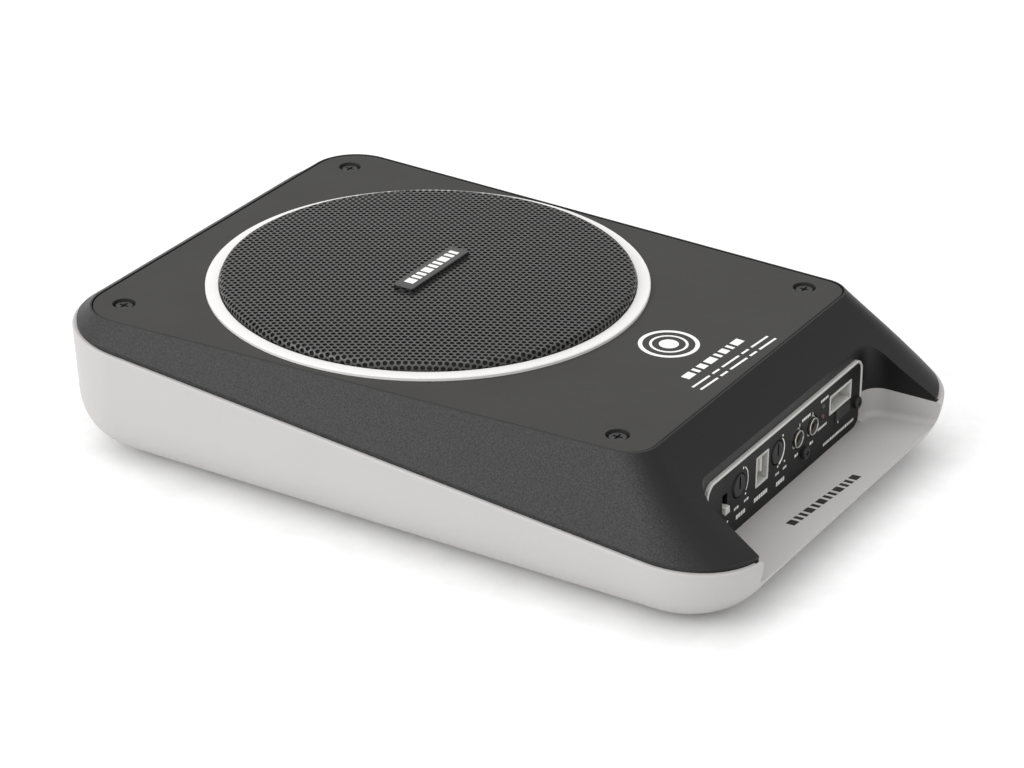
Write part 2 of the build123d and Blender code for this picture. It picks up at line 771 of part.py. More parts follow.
with BuildPart() as panel_screws:
    with BuildSketch(facing(panel_face_y)):
        with Locations(*panel_screw_spots):
            Circle(2.9)
    extrude(amount=1.9)
    fillet(panel_screws.faces().group_by(Axis.Y)[0].edges(), 0.8)
    with BuildSketch(facing(panel_face_y)):
        with Locations(*panel_screw_spots):
            Circle(1.4)
    extrude(amount=-3.9)
    with BuildSketch(facing(panel_face_y - 1.9)):
        with Locations(*panel_screw_spots):
            Rectangle(3.0, 0.7)
            Rectangle(0.7, 3.0)
    extrude(amount=-0.9, mode=Mode.SUBTRACT)
save(panel_screws.part, "panel_screws")


def make_knob(x, name):
    """Trimmer knob with a pointer slot and its stem."""
    with BuildPart() as knob:
        with BuildSketch(facing(bay_back_y + knob_back)):
            with Locations((x, knob_z)):
                Circle(knob_radius)
        extrude(amount=knob_back + knob_front)
        chamfer(knob.faces().sort_by(Axis.Y)[0].edges(), 0.5)
        with BuildSketch(facing(bay_back_y - knob_front)):
            with Locations((x, knob_z + 1.4)):
                SlotOverall(6.0, 1.2, rotation=90)
        extrude(amount=-knob_slot_depth, mode=Mode.SUBTRACT)
        with BuildSketch(facing(bay_back_y + knob_back)):
            with Locations((x, knob_z)):
                Circle(2.9)
        extrude(amount=-4.0)
    save(knob.part, name)


def make_potentiometer(x, name):
    """Upright potentiometer on the board, with a bush for the knob's stem."""
    with BuildPart() as body:
        with BuildSketch(Plane.XY.offset(board_top)):
            with Locations((x, bay_back_y + 8.0)):
                Rectangle(11, 8)
        extrude(amount=knob_z + 6.5 - board_top)
        with BuildSketch(facing(bay_back_y + 4.0)):
            with Locations((x, knob_z)):
                Circle(4.2)
        extrude(amount=1.8)
        with BuildSketch(facing(bay_back_y + 2.0)):
            with Locations((x, knob_z)):
                Circle(3.0)
        extrude(amount=-4.4, mode=Mode.SUBTRACT)
    save(body.part, name)


make_knob(frequency_x, "frequency_knob")
make_knob(gain_x, "gain_knob")
make_potentiometer(frequency_x, "frequency_potentiometer")
make_potentiometer(gain_x, "gain_potentiometer")

with BuildPart() as phase_switch:
    with BuildSketch(Plane.XY.offset(board_top)):
        with Locations((slider_x, bay_back_y + 5.0)):
            Rectangle(7.6, 7.0)
    extrude(amount=slider_low_z + slider_travel + 5.0 - board_top)
    with BuildSketch(facing(bay_back_y + 1.5)):
        with Locations((slider_x, slider_low_z + slider_travel / 2)):
            Rectangle(3.8, slider_travel + 3.8)
    extrude(amount=-3.0, mode=Mode.SUBTRACT)
save(phase_switch.part, "phase_switch")

with BuildPart() as phase_slider:
    with BuildSketch(facing(bay_back_y + 4.2)):
        with Locations((slider_x, slider_low_z)):
            Rectangle(3.4, 3.2)
    extrude(amount=7.2)
    chamfer(phase_slider.faces().sort_by(Axis.Y)[0].edges(), 0.3)
save(phase_slider.part, "phase_slider")

# ---------------------------------------------------------------- sockets
with BuildPart() as remote_socket:
    with BuildSketch(facing(bay_back_y + 12.0)):
        with Locations((remote_x, remote_z)):
            Rectangle(11.2, 14.3)
    extrude(amount=13.4)
    with BuildSketch(facing(bay_back_y - 1.4)):
        with Locations((remote_x, remote_z)):
            Rectangle(9.6, 12.7)
        with Locations((remote_x - 1.3, remote_z + 3.0)):
            Rectangle(0.9, 7.0, mode=Mode.SUBTRACT)
    extrude(amount=-9.6, mode=Mode.SUBTRACT)
    with BuildSketch(Plane.XY.offset(board_top)):
        with Locations((remote_x, bay_back_y + 8.5)):
            Rectangle(9.0, 7.0)
    extrude(amount=remote_z - 7.15 - board_top)
save(remote_socket.part, "remote_socket")


def make_pins(x_spots, z_spots, y_root, length, name):
    """Square contact pins pointing out of a socket's floor."""
    with BuildPart() as pins:
        with BuildSketch(facing(y_root)):
            with Locations(*[(x, z) for x in x_spots for z in z_spots]):
                Rectangle(0.8, 0.8)
        extrude(amount=length)
    save(pins.part, name)


make_pins([remote_x - 3.2, remote_x + 1.9], [remote_z - 4.5, remote_z + 4.5],
          bay_back_y + 8.2, 3.4, "remote_pins")

with BuildPart() as power_connector:
    with BuildSketch(facing(bay_back_y + 12.0)):
        with Locations((connector_x, connector_z)):
            Rectangle(21.2, 9.2)
    extrude(amount=13.4)
    with BuildSketch(facing(bay_back_y - 1.4)):
        with Locations((connector_x, connector_z)):
            Rectangle(19.4, 7.4)
    extrude(amount=-10.0, mode=Mode.SUBTRACT)
    with BuildSketch(Plane.XY.offset(board_top)):
        with Locations((connector_x, bay_back_y + 8.5)):
            Rectangle(18.0, 7.0)
    extrude(amount=connector_z - 4.6 - board_top)
save(power_connector.part, "power_connector")
make_pins([connector_x - 6.6 + 4.4 * column for column in range(4)],
          [connector_z - 1.9, connector_z + 1.9],
          bay_back_y + 8.6, 3.8, "power_pins")

with BuildPart() as connector_latch:
    with BuildSketch(facing(panel_face_y)):
        with Locations((connector_x + 2.5, connector_z - 7.8)):
            Rectangle(14.0, 5.6)
    extrude(amount=0.6)
    chamfer(connector_latch.faces().sort_by(Axis.Y)[0].edges(), 0.25)
save(connector_latch.part, "connector_latch")

rca_mid_x = (rca_left_x + rca_right_x) / 2
with BuildPart() as rca_block:
    with BuildSketch(Plane.XY.offset(board_top)):
        with Locations((rca_mid_x, bay_back_y + 8.0)):
            Rectangle(27.0, 16.0)
    extrude(amount=rca_z + 6.5 - board_top)
    with BuildSketch(facing(bay_back_y)):
        with Locations((rca_left_x, rca_z), (rca_right_x, rca_z)):
            Circle(rca_radius)
    extrude(amount=-rca_depth, mode=Mode.SUBTRACT)
    with BuildSketch(facing(bay_back_y)):
        with Locations(panel_screw_spots[2]):
            Circle(1.45)
    extrude(amount=-6.0, mode=Mode.SUBTRACT)
save(rca_block.part, "rca_block")


def make_rca(x, side):
    """Phono socket barrel with its insulator and centre contact, on a flange set into the panel."""
    with BuildPart() as barrel:
        with BuildSketch(facing(bay_back_y + rca_depth)):
            with Locations((x, rca_z)):
                Circle(rca_radius)
                Circle(rca_inner, mode=Mode.SUBTRACT)
        extrude(amount=rca_depth + rca_proud)
        chamfer(barrel.faces().sort_by(Axis.Y)[0].edges(), 0.25)
        with BuildSketch(facing(bay_back_y)):
            with Locations((x, rca_z)):
                Circle(rca_flange_radius)
                Circle(rca_inner, mode=Mode.SUBTRACT)
        extrude(amount=rca_flange_thickness)
    save(barrel.part, f"rca_barrel_{side}")
    with BuildPart() as insulator:
        with BuildSketch(facing(bay_back_y + rca_depth)):
            with Locations((x, rca_z)):
                Circle(rca_inner)
                Circle(rca_contact_bore + 0.4, mode=Mode.SUBTRACT)
        extrude(amount=rca_depth + rca_proud - 1.0)
    save(insulator.part, f"rca_insulator_{side}")
    with BuildPart() as contact:
        with BuildSketch(facing(bay_back_y + rca_depth)):
            with Locations((x, rca_z)):
                Circle(rca_contact_bore + 0.4)
                Circle(rca_contact_bore, mode=Mode.SUBTRACT)
        extrude(amount=rca_depth + rca_proud - 1.4)
    save(contact.part, f"rca_contact_{side}")


make_rca(rca_left_x, "left")
make_rca(rca_right_x, "right")


def make_led(z, leg_y, name):
    """Round indicator with two legs bent down to the board."""
    with BuildPart() as led:
        with BuildSketch(facing(bay_back_y + 4.0)):
            with Locations((led_x, z)):
                Circle(1.45)
        extrude(amount=4.0 + panel_thickness + 0.6)
        fillet(led.faces().sort_by(Axis.Y)[0].edges(), 0.9)
        for side in (-0.8, 0.8):
            with BuildSketch(Plane.YZ.offset(led_x + side - 0.25)):
                with BuildLine():
                    Polyline(
                        (bay_back_y + 4.0, z - 0.25),
                        (leg_y, z - 0.25),
                        (leg_y, board_top),
                        (leg_y + 0.5, board_top),
                        (leg_y + 0.5, z + 0.25),
                        (bay_back_y + 4.0, z + 0.25),
                        close=True,
                    )
                make_face()
            extrude(amount=0.5)
    save(led.part, name)


make_led(power_led_z, bay_back_y + 8.0, "power_led")
make_led(protect_led_z, bay_back_y + 6.0, "protect_led")

# ---------------------------------------------------------------- amplifier
with BuildPart() as amplifier_board:
    with BuildSketch(Plane.XY.offset(board_top - board_thickness)):
        with Locations((0, (board_front_y + board_back_y) / 2)):
            RectangleRounded(2 * board_half_width, board_back_y - board_front_y, 2)
        with Locations(*standoff_spots):
            Circle(1.6, mode=Mode.SUBTRACT)
    extrude(amount=board_thickness)
save(amplifier_board.part, "amplifier_board")

with BuildPart() as board_screws:
    with Locations(*[(x, y, board_top) for x, y in standoff_spots]):
        Cylinder(2.8, 1.8, align=(Align.CENTER, Align.CENTER, Align.MIN))
        Cylinder(1.15, 9.0, align=(Align.CENTER, Align.CENTER, Align.MAX))
    with Locations(*[(x, y, board_top + 1.8) for x, y in standoff_spots]):
        cross_recess(0.7, 3.2, 0.9)
save(board_screws.part, "board_screws")

transistor_z = board_top + 12.0
with BuildPart() as heatsink:
    with BuildSketch(Plane.XY.offset(board_top)):
        with Locations((0, sink_y + sink_thickness / 2)):
            Rectangle(2 * sink_half_width, sink_thickness)
        with Locations((0, sink_y + sink_thickness + 6.0)):
            with GridLocations(2 * (sink_half_width - 1) / (fin_count - 1), 0, fin_count, 1):
                Rectangle(1.8, 12.0)
    extrude(amount=sink_top - board_top)
    with BuildSketch(facing(sink_y)):
        with Locations(*[(x, transistor_z + 6.0) for x in transistor_spots]):
            Circle(1.3)
    extrude(amount=-sink_thickness, mode=Mode.SUBTRACT)
save(heatsink.part, "heatsink")

with BuildPart() as power_transistors:
    with BuildSketch(facing(sink_y)):
        with Locations(*[(x, transistor_z + 1.0) for x in transistor_spots]):
            Rectangle(15.0, 16.0)
        with Locations(*[(x, transistor_z + 6.0) for x in transistor_spots]):
            Circle(1.6, mode=Mode.SUBTRACT)
    extrude(amount=4.5)
    with BuildSketch(facing(sink_y - 1.8)):
        with Locations(*[(x + leg, board_top + 2.5) for x in transistor_spots for leg in (-5.0, 0.0, 5.0)]):
            Rectangle(1.2, 5.0)
    extrude(amount=0.8)
save(power_transistors.part, "power_transistors")

with BuildPart() as transistor_screws:
    with BuildSketch(facing(sink_y - 4.5)):
        with Locations(*[(x, transistor_z + 6.0) for x in transistor_spots]):
            Circle(2.7)
    extrude(amount=1.8)
    with BuildSketch(facing(sink_y - 4.5)):
        with Locations(*[(x, transistor_z + 6.0) for x in transistor_spots]):
            Circle(1.25)
    extrude(amount=-7.5)
save(transistor_screws.part, "transistor_screws")

with BuildPart() as transformer_core:
    with BuildSketch(Plane.XY.offset(board_top + 2)):
        with Locations((transformer_x, transformer_y)):
            Circle(16.0)
            Circle(9.5, mode=Mode.SUBTRACT)
    extrude(amount=10)
save(transformer_core.part, "transformer_core")

with BuildPart() as transformer_winding:
    with BuildSketch(Plane.XY.offset(board_top)):
        with Locations((transformer_x, transformer_y)):
            Circle(18.0)
            Circle(7.5, mode=Mode.SUBTRACT)
            with PolarLocations(18.6, 28):
                Circle(1.2, mode=Mode.SUBTRACT)
    extrude(amount=14)
    add(transformer_core.part, mode=Mode.SUBTRACT)
save(transformer_winding.part, "transformer_winding")

with BuildPart() as filter_capacitors:
    with Locations(*[(x, y, board_top) for x, y in capacitor_spots]):
        Cylinder(8.0, 24.0, align=(Align.CENTER, Align.CENTER, Align.MIN))
    fillet(filter_capacitors.faces().filter_by(Axis.Z).group_by(Axis.Z)[-1].edges(), 1.0)
    with Locations(*[(x, y, board_top + 24.0) for x, y in capacitor_spots]):
        cross_recess(0.6, 10.0, 0.4)
save(filter_capacitors.part, "filter_capacitors")

with BuildPart() as output_inductors:
    with BuildSketch(Plane.XY.offset(board_top)):
        with Locations(*inductor_spots):
            Circle(8.0)
            Circle(3.2, mode=Mode.SUBTRACT)
            with PolarLocations(8.4, 18):
                Circle(0.8, mode=Mode.SUBTRACT)
    extrude(amount=8)
save(output_inductors.part, "output_inductors")


def make_lead(points, name):
    """Insulated wire along a route of straight runs and arcs, from the board to a tab."""
    radii = []
    for before, corner, after in zip(points, points[1:], points[2:]):
        run_in = Vector(*corner) - Vector(*before)
        run_out = Vector(*after) - Vector(*corner)
        half_turn = radians(run_in.get_angle(run_out) / 2)
        radii.append(0.45 * min(run_in.length, run_out.length) * cos(half_turn) / sin(half_turn))
    print(name, "bend radii", [round(radius, 1) for radius in radii])
    with BuildPart() as lead:
        with BuildLine() as route:
            FilletPolyline(*points, radius=radii)
        with BuildSketch(Plane(origin=route.line @ 0, z_dir=route.line % 0)):
            Circle(lead_radius)
        sweep(path=route.line)
    save(lead.part, name)


tab_end_y = driver_y - 53.6 - 6.3
for side, bow_y, name in ((1, -30.0, "speaker_lead_positive"), (-1, -36.0, "speaker_lead_negative")):
    spread = 2.4 * side
    make_lead(
        [
            (66 + spread, -76, board_top),
            (66 + spread, -76, board_top + 8.5),
            (65.6 + spread, -72, lead_z + 7),
            (65 + spread, -63, lead_z + 10.5),
            (63 + spread, -49, lead_z + 6),
            (52 + spread, -36 + spread, lead_z + 4.5),
            (34, bow_y, lead_z + 4),
            (tab_x * side + 15, bow_y - 2.5, tab_z - 1),
            (tab_x * side + 4.5, bow_y - 1, tab_z - 0.3),
            (tab_x * side, (bow_y - 1 + tab_end_y) / 2, tab_z),
            (tab_x * side, tab_end_y, tab_z),
        ],
        name,
    )

# ---------------------------------------------------------------- underside
with BuildPart() as rubber_feet:
    with Locations(*foot_spots):
        Cylinder(foot_radius, foot_proud + foot_seat, align=(Align.CENTER, Align.CENTER, Align.MIN))
    chamfer(rubber_feet.faces().filter_by(Axis.Z).group_by(Axis.Z)[0].edges(), 0.5)
save(rubber_feet.part, "rubber_feet")

with BuildPart() as bracket_inserts:
    with BuildSketch(Plane.XY.offset(shell_bottom)):
        with Locations(*insert_spots):
            Circle(insert_radius)
            Circle(insert_bore, mode=Mode.SUBTRACT)
    extrude(amount=insert_length)
save(bracket_inserts.part, "bracket_inserts")
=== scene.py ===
import json
from math import asin, cos, hypot, pi, radians, sin, sqrt

import bpy
from mathutils import Matrix, Vector


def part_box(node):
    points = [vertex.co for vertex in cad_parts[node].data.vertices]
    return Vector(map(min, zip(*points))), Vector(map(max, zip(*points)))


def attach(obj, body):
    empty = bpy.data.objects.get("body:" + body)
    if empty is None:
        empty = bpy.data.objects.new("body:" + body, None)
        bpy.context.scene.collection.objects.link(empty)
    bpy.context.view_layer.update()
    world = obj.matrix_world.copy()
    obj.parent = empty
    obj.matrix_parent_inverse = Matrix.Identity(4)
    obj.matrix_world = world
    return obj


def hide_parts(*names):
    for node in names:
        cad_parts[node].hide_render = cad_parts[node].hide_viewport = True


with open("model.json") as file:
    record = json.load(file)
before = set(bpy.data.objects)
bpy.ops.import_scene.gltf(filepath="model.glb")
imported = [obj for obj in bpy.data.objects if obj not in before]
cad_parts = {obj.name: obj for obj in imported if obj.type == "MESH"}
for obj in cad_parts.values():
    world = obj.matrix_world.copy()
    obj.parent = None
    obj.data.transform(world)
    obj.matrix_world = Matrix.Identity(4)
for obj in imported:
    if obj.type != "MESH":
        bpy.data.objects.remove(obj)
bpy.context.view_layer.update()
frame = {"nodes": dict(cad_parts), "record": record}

MM = 0.001
FULL_TURN = 2 * pi
nodes = frame["nodes"]

# ------------------------------------------------------------------ shader helpers
MIX_SHARE, MIX_FIRST, MIX_SECOND, MIX_RESULT = 0, 6, 7, 2


def linear(level):
    """One sRGB channel from 0 to 255 as scene-linear."""
    share = level / 255
    return share / 12.92 if share <= 0.04045 else ((share + 0.055) / 1.055) ** 2.4


def colour(red, green, blue):
    """An opaque colour from three sRGB channels."""
    return (linear(red), linear(green), linear(blue), 1.0)


def scaled(tint, share):
    """A colour made lighter or darker."""
    return (tint[0] * share, tint[1] * share, tint[2] * share, 1.0)


def put(tree, kind, inputs=None, **settings):
    """Add a node, set its properties, then fill or link its inputs."""
    made = tree.nodes.new(kind)
    for key, value in settings.items():
        setattr(made, key, value)
    for key, value in (inputs or {}).items():
        if isinstance(value, bpy.types.NodeSocket):
            tree.links.new(value, made.inputs[key])
        else:
            made.inputs[key].default_value = value
    return made


def blank(name):
    """A material with its node tree, its shader and the object's own coordinates."""
    made = bpy.data.materials.new(name)
    made.use_nodes = True
    tree = made.node_tree
    return made, tree, tree.nodes["Principled BSDF"], put(tree, "ShaderNodeTexCoord").outputs["Object"]


def noise(tree, place, grain_mm, detail=3.0):
    """Noise with grains of about the given size."""
    return put(tree, "ShaderNodeTexNoise",
               {"Vector": place, "Scale": 1 / (grain_mm * MM), "Detail": detail, "Roughness": 0.55}
               ).outputs["Fac"]


def maths(tree, operation, *values):
    """One sum on one or two values or sockets."""
    return put(tree, "ShaderNodeMath", dict(enumerate(values)), operation=operation).outputs["Value"]


def ranged(tree, value, low, high, to_low, to_high):
    """A value's range mapped to another one, and held at its ends."""
    return put(tree, "ShaderNodeMapRange",
               {"Value": value, "From Min": low, "From Max": high, "To Min": to_low, "To Max": to_high}
               ).outputs["Result"]


def mixed(tree, share, first, second):
    """A blend of two colours, through the colour sockets of a mix node."""
    made = put(tree, "ShaderNodeMix", {MIX_SHARE: share, MIX_FIRST: first, MIX_SECOND: second},
               data_type="RGBA")
    return made.outputs[MIX_RESULT]


def bumped(tree, height, depth_mm, normal=None):
    """A normal bent by a height, on top of another normal if one is given."""
    inputs = {"Height": height, "Distance": depth_mm * MM, "Strength": 1.0}
    if normal is not None:
        inputs["Normal"] = normal
    return put(tree, "ShaderNodeBump", inputs).outputs["Normal"]


def finish(name, tint, roughness, metallic=0.0, grain=0.4, mottle=0.06, depth=0.01,
           patch=18.0, patch_mottle=0.04, specular=0.5, coat=0.0, edge_lightening=0.0, sheen=0.0):
    """General surface: fine grain, broad uneven tone and gloss, and lighter sharp edges."""
    made, tree, shader, place = blank(name)
    fine = noise(tree, place, grain)
    broad = noise(tree, place, patch, 4.0)
    tone = mixed(tree, ranged(tree, fine, 0.35, 0.65, 0.0, 1.0),
                 scaled(tint, 1 - mottle), scaled(tint, 1 + mottle))
    tone = mixed(tree, ranged(tree, broad, 0.3, 0.7, 0.0, 1.0),
                 tone, scaled(tint, 1 + 2 * patch_mottle))
    if edge_lightening:
        # sharp convex edges, found by pointiness, are lightened towards 2.2 times the tint
        edge = put(tree, "ShaderNodeNewGeometry").outputs["Pointiness"]
        tone = mixed(tree, ranged(tree, edge, 0.52, 0.6, 0.0, edge_lightening), tone, scaled(tint, 2.2))
    tree.links.new(tone, shader.inputs["Base Color"])
    tree.links.new(ranged(tree, broad, 0.3, 0.7, roughness - 0.04, roughness + 0.05),
                   shader.inputs["Roughness"])
    tree.links.new(bumped(tree, fine, depth), shader.inputs["Normal"])
    shader.inputs["Metallic"].default_value = metallic
    shader.inputs["Specular IOR Level"].default_value = specular
    shader.inputs["Coat Weight"].default_value = coat
    shader.inputs["Sheen Weight"].default_value = sheen
    return made


PEBBLE_MM = 0.8


def hood_finish_with_painted_shade():
    """Moulded black plastic: pebbled grain on the flanks that fades out over the smoother front, whose
    much darker colour is partly the plain moulding and partly painted shade.
    """
    made, tree, shader, place = blank("hood_grain_and_front_shade")
    normal = put(tree, "ShaderNodeSeparateXYZ",
                 {"Vector": put(tree, "ShaderNodeTexCoord").outputs["Normal"]})
    side = maths(tree, "SIGN", put(tree, "ShaderNodeSeparateXYZ", {"Vector": place}).outputs["X"])
    outward = maths(tree, "MULTIPLY", normal.outputs["X"], side)
    # front is 1 on faces turned forward or inward and 0 on faces turned outward or back; it picks the
    # darker colour (partly painted shade), the gloss and the flatter grain
    front = ranged(tree, maths(tree, "ADD", normal.outputs["Y"], outward), -0.1, 0.45, 1.0, 0.0)
    pebbles = put(tree, "ShaderNodeTexVoronoi", {"Vector": place, "Scale": 1 / (PEBBLE_MM * MM)},
                  feature="SMOOTH_F1").outputs["Distance"]
    fine = noise(tree, place, 0.7)
    broad = noise(tree, place, 25.0, 4.0)
    flank = mixed(tree, ranged(tree, fine, 0.35, 0.65, 0.0, 1.0),
                  colour(26, 26, 27), colour(52, 52, 53))
    # near-black front colour: partly the plain moulding, partly painted shade on the side that gets
    # less light
    smooth_front_and_shade = mixed(tree, ranged(tree, broad, 0.3, 0.7, 0.0, 1.0),
                   colour(12, 12, 13), colour(15, 15, 16))
    tree.links.new(mixed(tree, front, flank, smooth_front_and_shade), shader.inputs["Base Color"])
    tree.links.new(ranged(tree, front, 0.0, 1.0, 0.5, 0.42), shader.inputs["Roughness"])
    shader.inputs["Specular IOR Level"].default_value = 0.35
    grain = maths(tree, "MULTIPLY", pebbles, ranged(tree, front, 0.0, 1.0, 1.0, 0.12))
    tree.links.new(bumped(tree, fine, 0.02, bumped(tree, grain, 0.12)), shader.inputs["Normal"])
    return made


def nylon_finish():
    """Natural nylon moulding: milky, so light that enters a thin wall comes out inside the socket."""
    made = finish("nylon_natural", colour(196, 196, 192), 0.42, grain=0.5, mottle=0.03, depth=0.004)
    shader = made.node_tree.nodes["Principled BSDF"]
    shader.inputs["Subsurface Weight"].default_value = 1.0
    shader.inputs["Subsurface Radius"].default_value = (1.0, 1.0, 0.9)
    shader.inputs["Subsurface Scale"].default_value = 3 * MM
    return made


def wound_finish(name, tint, pitch_mm):
    """Fine enamelled wire laid side by side."""
    made, tree, shader, place = blank(name)
    turns = put(tree, "ShaderNodeTexWave",
                {"Vector": place, "Scale": 1 / (pitch_mm * MM) / 6.283, "Distortion": 0.4},
                wave_type="BANDS", bands_direction="Z").outputs["Fac"]
    # painted shade: the colour drops to 0.55 of the tint in the low band of each turn, the groove
    # between wires
    tone = mixed(tree, turns, scaled(tint, 0.55), tint)
    tree.links.new(tone, shader.inputs["Base Color"])
    tree.links.new(bumped(tree, turns, 0.1), shader.inputs["Normal"])
    shader.inputs["Metallic"].default_value = 0.7
    shader.inputs["Roughness"].default_value = 0.35
    return made


looks = {
    "tub_plastic": finish("tub_satin", colour(181, 179, 178), 0.42, grain=0.7, mottle=0.02,
                          depth=0.012,
                          patch=40, patch_mottle=0.012, specular=0.35),
    "hood_plastic": hood_finish_with_painted_shade(),
    "plate_paint": finish("plate_matte", colour(51, 50, 49), 0.6, grain=0.45, mottle=0.14,
                          depth=0.012,
                          patch=30, patch_mottle=0.02, specular=0.35),
    "ring_paint": finish("ring_satin", colour(232, 231, 229), 0.4, grain=0.3, mottle=0.01,
                         depth=0.003,
                         patch_mottle=0.01),
    "grille_paint": finish("grille_black", colour(36, 35, 34), 0.34, grain=0.3, mottle=0.1,
                           depth=0.004,
                           specular=0.9, coat=0.25),
    "badge_plastic": finish("badge_gloss", colour(22, 22, 22), 0.16, grain=1.0, mottle=0.04,
                            depth=0.001, coat=0.4),
    "panel_paint": finish("panel_black", colour(12, 12, 12), 0.5, grain=0.25, mottle=0.12,
                          depth=0.005,
                          specular=0.3),
    "trim_metal": finish("trim_bright", colour(206, 205, 202), 0.35, metallic=0.3, grain=0.3,
                         mottle=0.03,
                         depth=0.002),
    "black_steel": finish("screw_black", colour(38, 38, 38), 0.35, metallic=0.3, grain=0.4,
                          mottle=0.1,
                          depth=0.006, edge_lightening=0.5),
    "plated_steel": finish("plated_steel_grain", colour(168, 167, 160), 0.3, metallic=0.95,
                           grain=0.5, mottle=0.05,
                           depth=0.004),
    "knob_plastic": finish("knob_black", colour(14, 14, 14), 0.4, grain=0.3, mottle=0.08,
                           depth=0.006, edge_lightening=0.2),
    "white_nylon": nylon_finish(),
    "black_nylon": finish("nylon_black", colour(30, 30, 30), 0.45, grain=0.4, mottle=0.08,
                          depth=0.006),
    "socket_chrome": finish("nickel_plate", colour(188, 188, 185), 0.22, metallic=1.0, grain=0.4,
                            mottle=0.03,
                            depth=0.001),
    "contact_brass": finish("contact_bright", colour(206, 178, 110), 0.25, metallic=1.0, grain=0.4,
                            mottle=0.05,
                            depth=0.002),
    "led_lens_red": finish("lens_red", colour(58, 18, 16), 0.15, grain=1.0, mottle=0.02,
                           depth=0.001, coat=0.5),
    "led_lens_green": finish("lens_green", colour(22, 38, 24), 0.15, grain=1.0, mottle=0.02,
                             depth=0.001, coat=0.5),
    "basket_paint": finish("basket_black", colour(34, 34, 34), 0.45, grain=0.6, mottle=0.1,
                           depth=0.01),
    "cone_paper": finish("cone_pulp", colour(36, 35, 34), 0.8, grain=0.7, mottle=0.25, depth=0.05,
                         sheen=0.2),
    "surround_rubber": finish("surround_rubber_soft", colour(30, 30, 30), 0.6, grain=0.5,
                              mottle=0.06, depth=0.006),
    "spider_cloth": finish("spider_weave", colour(190, 155, 90), 0.85, grain=0.5, mottle=0.2,
                           depth=0.05, sheen=0.3),
    "former_aluminium": finish("former_foil", colour(190, 190, 192), 0.3, metallic=1.0, grain=0.4,
                               depth=0.002),
    "coil_copper": wound_finish("copper_turns", colour(190, 104, 60), 0.5),
    "yoke_steel": finish("yoke_zinc", colour(150, 150, 150), 0.38, metallic=0.9, grain=0.6,
                         mottle=0.06, depth=0.006),
    "ferrite": finish("ferrite_grain", colour(50, 50, 52), 0.7, grain=0.7, mottle=0.15, depth=0.02),
    "gasket_foam": finish("gasket_cells", colour(40, 40, 40), 0.85, grain=0.4, mottle=0.2,
                          depth=0.05),
    "board_laminate": finish("board_green", colour(36, 84, 48), 0.35, grain=0.8, mottle=0.06,
                             depth=0.004),
    "sink_aluminium": finish("sink_extruded", colour(178, 178, 180), 0.4, metallic=0.9, grain=0.5,
                             mottle=0.05,
                             depth=0.006),
    "transistor_epoxy": finish("epoxy_black", colour(34, 34, 34), 0.6, grain=0.4, mottle=0.1,
                               depth=0.01),
    "capacitor_sleeve": finish("sleeve_blue", colour(30, 34, 62), 0.25, grain=0.8, mottle=0.03,
                               depth=0.002, coat=0.3),
    "wire_red": finish("insulation_red", colour(160, 36, 34), 0.4, grain=0.6, mottle=0.05,
                       depth=0.003),
    "wire_black": finish("insulation_black", colour(28, 28, 28), 0.4, grain=0.6, mottle=0.05,
                         depth=0.003),
    "print_white": finish("ink_white", colour(236, 236, 234), 0.45, grain=0.4, mottle=0.02,
                          depth=0.001),
    "print_black": finish("ink_black", colour(26, 26, 27), 0.45, grain=0.4, mottle=0.08,
                          depth=0.001),
    "foot_rubber": finish("foot_rubber_soft", colour(32, 32, 32), 0.8, grain=0.5, mottle=0.12,
                          depth=0.02),
}
slot_of = {part["node"]: part["material_slot"] for part in frame["record"]["subparts"]}
for name, obj in nodes.items():
    obj.data.materials.clear()
    obj.data.materials.append(looks[slot_of[name]])

# ------------------------------------------------------------------ mesh helpers


def piece(name, corners, faces, slot, body="housing", look=None):
    """A mesh piece in metres that rides on a body, in its record slot's look or another one."""
    mesh = bpy.data.meshes.new(name)
    mesh.from_pydata(corners, [], faces)
    mesh.materials.append(looks[look or slot])
    mesh.validate()
    made = bpy.data.objects.new(name, mesh)
    bpy.context.scene.collection.objects.link(made)
    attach(made, body)
    return made


# ------------------------------------------------------------------ grille with real perforations
DRIVER_Y = 44.7
PITCH = 2.95                # between holes, in a hexagonal pattern
HOLE = 1.1                  # radius of a hole
SIDES = 12                  # of a hole
BORDER = 1.6                # plain sheet left round the foot
SHEET = 0.8
WALL_R, FOOT_Z = 93.6, 68.7
SHOULDER, SHOULDER_Z = 2.6, 74.6
CROWN_Z = 76.4
dome_r = WALL_R - SHOULDER
ball = (dome_r**2 + (CROWN_Z - SHOULDER_Z) ** 2) / (2 * (CROWN_Z - SHOULDER_Z))
arc_dome = ball * asin(dome_r / ball)
arc_shoulder = SHOULDER * pi / 2
arc_wall = SHOULDER_Z - SHOULDER - FOOT_Z
arc_end = arc_dome + arc_shoulder + arc_wall


def on_sheet(along):
    """Radius and height of the grille's outer surface at a distance from the crown along the sheet."""
    if along <= arc_dome:
        turn = along / ball
        return ball * sin(turn), CROWN_Z - ball * (1 - cos(turn))
    along -= arc_dome
    if along <= arc_shoulder:
        turn = along / SHOULDER
        return dome_r + SHOULDER * sin(turn), SHOULDER_Z - SHOULDER + SHOULDER * cos(turn)
    along -= arc_shoulder
    return WALL_R, SHOULDER_Z - SHOULDER - min(along, arc_wall)


